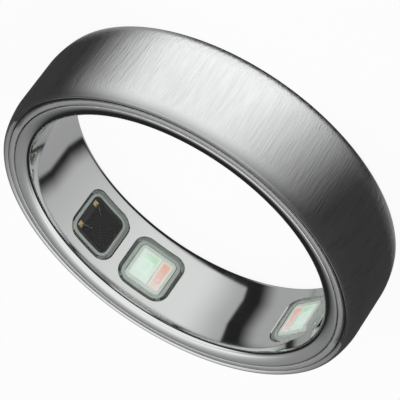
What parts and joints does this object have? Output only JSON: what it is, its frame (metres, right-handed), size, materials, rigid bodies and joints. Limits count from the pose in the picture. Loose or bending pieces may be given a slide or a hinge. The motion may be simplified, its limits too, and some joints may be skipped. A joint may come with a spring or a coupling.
{
  "type": "smart ring",
  "caption": "Metal finger ring with four square optical sensor windows in the polished bore, and a battery, charging coil and circuit board sealed inside.",
  "frame": {"origin": "centre of the finger bore, at the middle of the band's width", "axes": "+Z along the finger axis towards the front rim; -Y is the palm side, midway between the two emitter windows; +Y is the back of the hand"},
  "size_m": [0.0258, 0.0258, 0.0064],
  "materials": {
    "outer_metal": "titanium, brushed across the band",
    "inner_metal": "titanium, polished",
    "rim_metal": "titanium, satin",
    "seal": "black adhesive",
    "window": "clear moulded resin",
    "package": "matt white",
    "led_resin": "clear resin",
    "green_led": "lit green",
    "red_led": "lit red",
    "infrared_led": "dark red",
    "substrate": "grey laminate",
    "silicon": "black silicon with fine grid lines",
    "gold": "gold plate",
    "wire": "bright",
    "board": "green solder mask",
    "chip": "black moulding compound",
    "tin": "tinned",
    "capacitor": "fired ceramic",
    "black_plastic": "black",
    "thermal_pad": "soft silicone",
    "battery": "laminated foil pouch",
    "polyimide": "amber film",
    "copper": "bare copper",
    "ferrite": "dark grey sheet"
  },
  "bodies": {
    "root": {"outer_shell": "outer_metal", "inner_shell": "inner_metal", "front_end_ring": "rim_metal", "rear_end_ring": "rim_metal", "front_seal": "seal", "rear_seal": "seal", "left_detector_window": "window", "left_emitter_window": "window", "right_emitter_window": "window", "right_detector_window": "window", "left_detector_substrate": "substrate", "right_detector_substrate": "substrate", "left_detector_chip": "silicon", "right_detector_chip": "silicon", "left_bond_pads": "gold", "right_bond_pads": "gold", "left_bond_wires": "wire", "right_bond_wires": "wire", "left_emitter_package": "package", "right_emitter_package": "package", "left_green_led": "green_led", "right_green_led": "green_led", "left_red_led": "red_led", "right_red_led": "red_led", "left_infrared_led": "infrared_led", "right_infrared_led": "infrared_led", "left_emitter_resin": "led_resin", "right_emitter_resin": "led_resin", "left_detector_carrier": "board", "left_emitter_carrier": "board", "right_emitter_carrier": "board", "right_detector_carrier": "board", "left_light_barrier": "black_plastic", "right_light_barrier": "black_plastic", "flex_board": "board", "main_processor": "chip", "memory_chip": "chip", "optical_front_end": "chip", "accelerometer": "chip", "crystal": "tin", "power_chip": "chip", "charging_chip": "chip", "protection_chip": "chip", "inductors": "ferrite", "capacitors": "capacitor", "left_thermistor": "black_plastic", "right_thermistor": "black_plastic", "left_thermal_pad": "thermal_pad", "right_thermal_pad": "thermal_pad", "battery": "battery", "battery_tabs": "tin", "insulating_sleeve": "polyimide", "charging_coil": "copper", "coil_film": "polyimide", "coil_leads": "copper", "ferrite_sheet": "ferrite", "antenna": "polyimide"}
  },
  "joints": []
}
